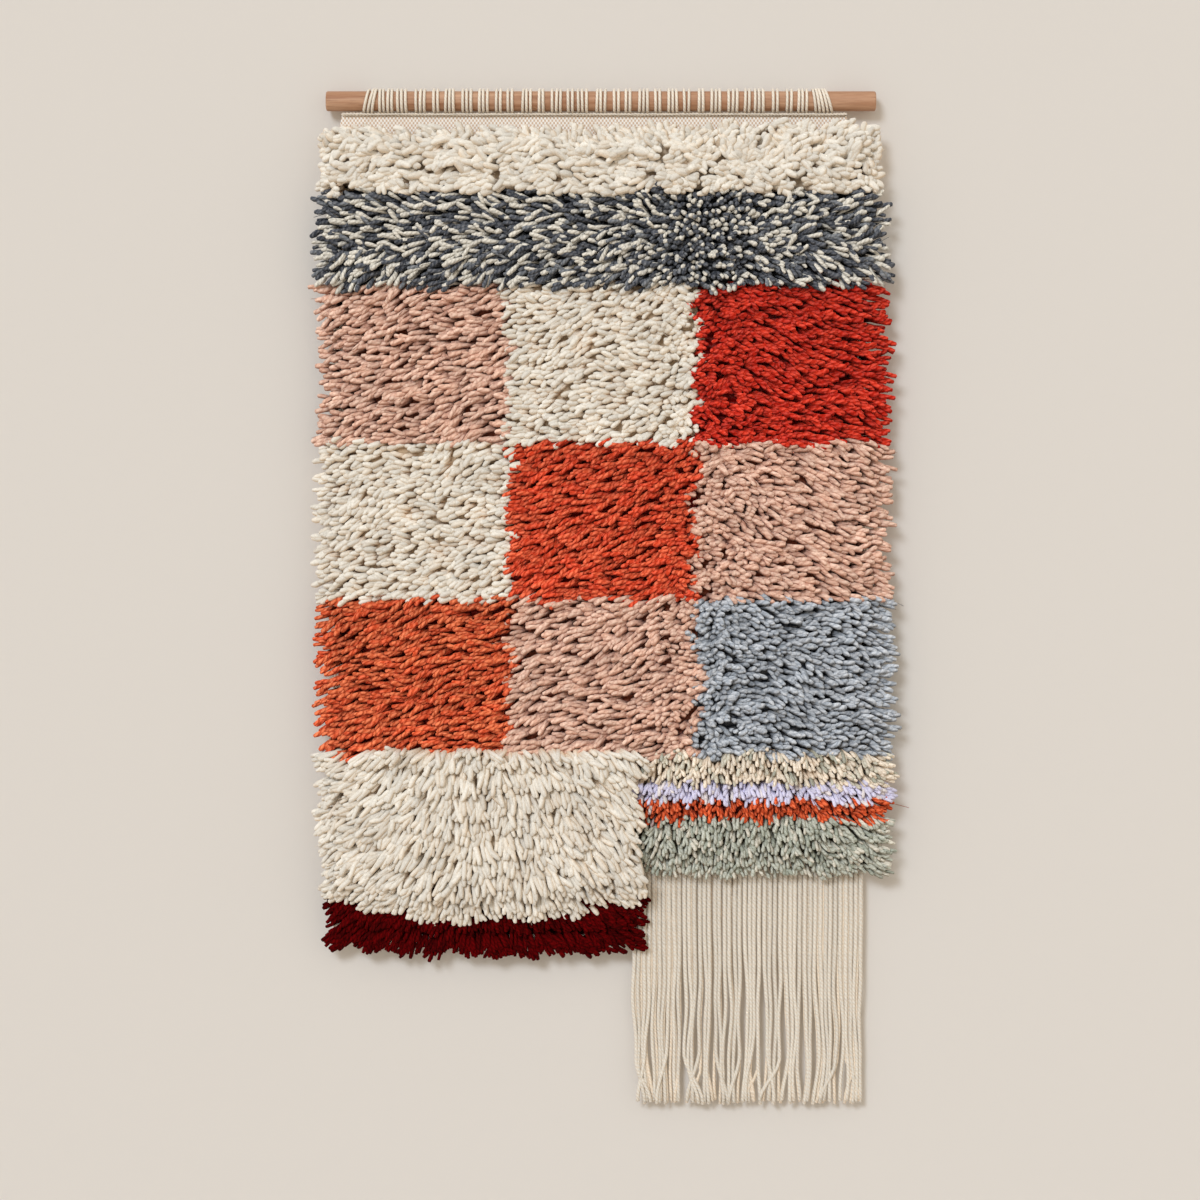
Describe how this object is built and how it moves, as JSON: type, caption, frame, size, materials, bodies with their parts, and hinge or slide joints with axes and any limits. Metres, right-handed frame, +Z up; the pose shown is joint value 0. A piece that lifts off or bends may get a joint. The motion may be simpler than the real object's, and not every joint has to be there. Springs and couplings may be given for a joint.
{
  "type": "shag wall hanging on a wooden dowel",
  "caption": "Textile wall hanging: knotted wool pile in bands, patches and stripes on a woven ground, with a long fringe, hung by its warp loops from a round wooden dowel.",
  "frame": {"origin": "the middle of the dowel's axis", "axes": "+Z up, front faces -Y, the wall is on the +Y side, +X to the right as seen from the front"},
  "size_m": [0.6599, 0.0544, 1.125],
  "materials": {
    "wood": "bare pale brown hardwood, sanded, satin",
    "ecru_cord": "plied ecru cotton cord, matt",
    "ecru_weave": "coarse plain weave of ecru cotton, matt",
    "cream_pile": "soft lofty wool roving in natural cream, matt",
    "tweed_pile": "cut slate and ecru wool strands mixed, matt",
    "pink_pile": "soft single-ply wool in dusty pink, matt",
    "rust_deep_pile": "soft single-ply wool in deep red rust, matt",
    "rust_mid_pile": "soft single-ply wool in red rust, matt",
    "rust_light_pile": "soft single-ply wool in orange rust, matt",
    "blue_pile": "soft single-ply wool in grey blue, matt",
    "mixed_pile": "cut cream and sage wool strands mixed, matt",
    "lilac_pile": "soft single-ply wool in lilac, matt",
    "sage_pile": "woolly sage and cream strands, matt",
    "burgundy_pile": "firm plied wool in dark burgundy, matt"
  },
  "bodies": {
    "root": {"dowel": "wood", "warp_loops": "ecru_cord", "ground_cloth": "ecru_weave", "cream_band": "cream_pile", "tweed_band": "tweed_pile", "long_shag": "cream_pile", "burgundy_hem": "burgundy_pile", "mixed_stripe": "mixed_pile", "lilac_stripe": "lilac_pile", "rust_stripe": "rust_mid_pile", "sage_end": "sage_pile", "patch_1_1_pink": "pink_pile", "patch_1_2_cream": "cream_pile", "patch_1_3_rust_deep": "rust_deep_pile", "patch_2_1_cream": "cream_pile", "patch_2_2_rust_mid": "rust_mid_pile", "patch_2_3_pink": "pink_pile", "patch_3_1_rust_light": "rust_light_pile", "patch_3_2_pink": "pink_pile", "patch_3_3_blue": "blue_pile", "fringe": "ecru_cord"}
  },
  "joints": []
}
